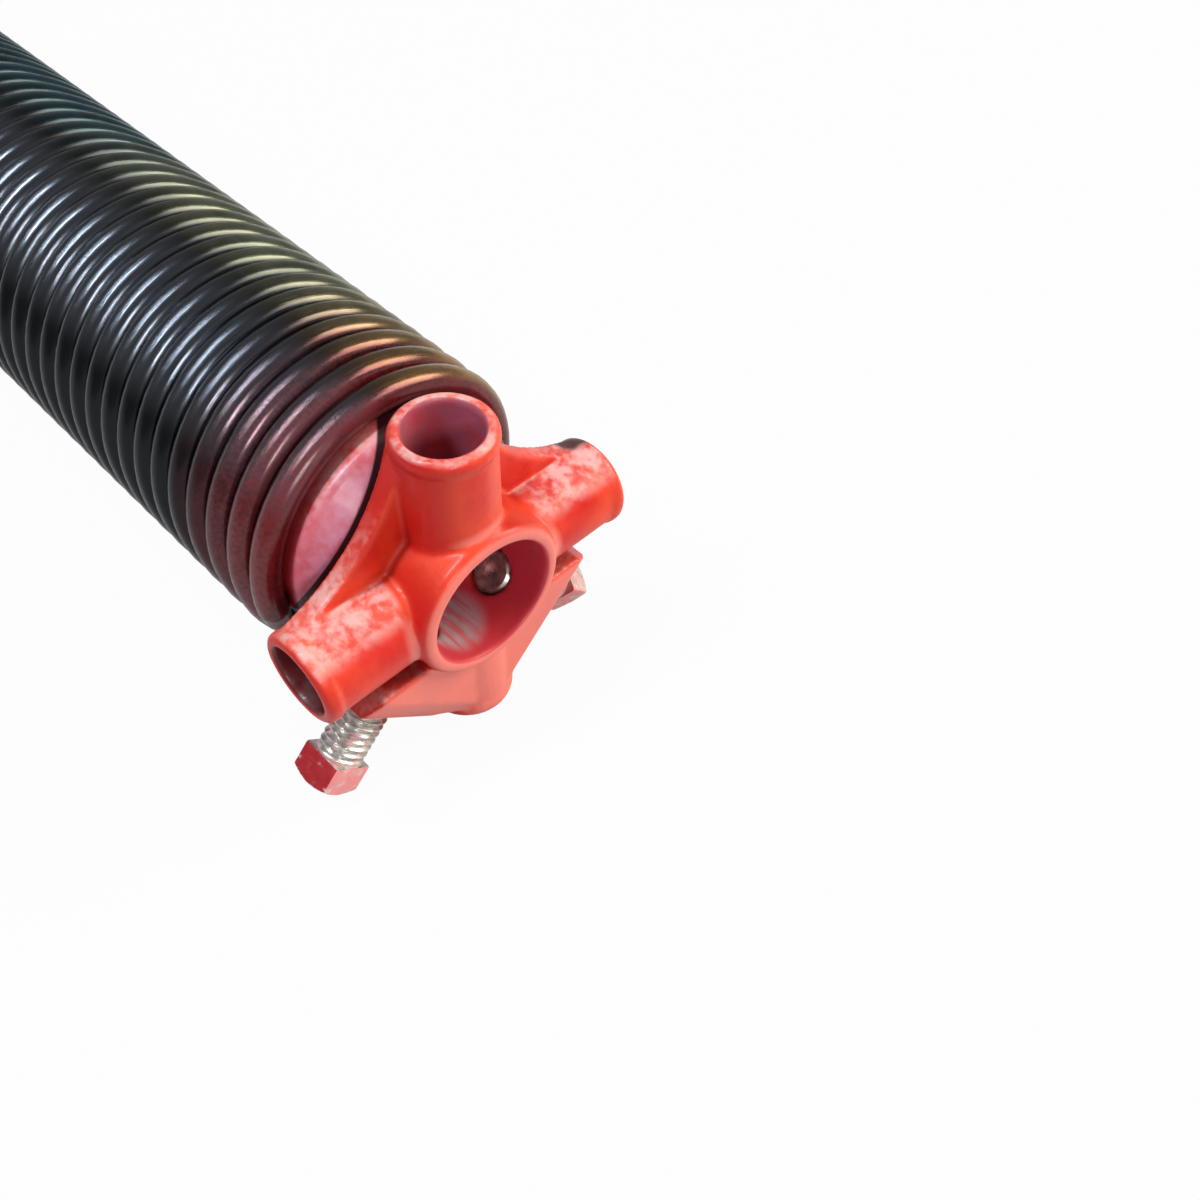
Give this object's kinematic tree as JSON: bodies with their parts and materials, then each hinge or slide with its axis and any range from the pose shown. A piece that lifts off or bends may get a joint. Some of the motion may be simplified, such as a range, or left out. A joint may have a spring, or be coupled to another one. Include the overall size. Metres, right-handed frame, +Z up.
{
  "type": "garage door torsion spring",
  "caption": "Close-wound torsion spring with a winding cone, its two square-head set screws and a flanged stationary cone for a round shaft.",
  "frame": {"origin": "on the shaft's axis, in the plane of the stationary cone's face that bolts to the anchor bracket", "axes": "+X along the shaft from the stationary cone to the winding cone, +Z up through one winding socket, +Y across"},
  "size_m": [0.5508, 0.1112, 0.0739],
  "materials": {
    "oil_tempered_wire": "oil-tempered, near black, satin to glossy",
    "red_paint": "glossy red enamel on a rough casting",
    "zinc_screw": "bright zinc with red overspray on the heads",
    "bare_casting": "as-cast, matt, with machined faces"
  },
  "bodies": {
    "root": {"spring": "oil_tempered_wire", "winding_cone": "red_paint", "near_set_screw": "zinc_screw", "far_set_screw": "zinc_screw", "stationary_cone": "bare_casting"}
  },
  "joints": []
}
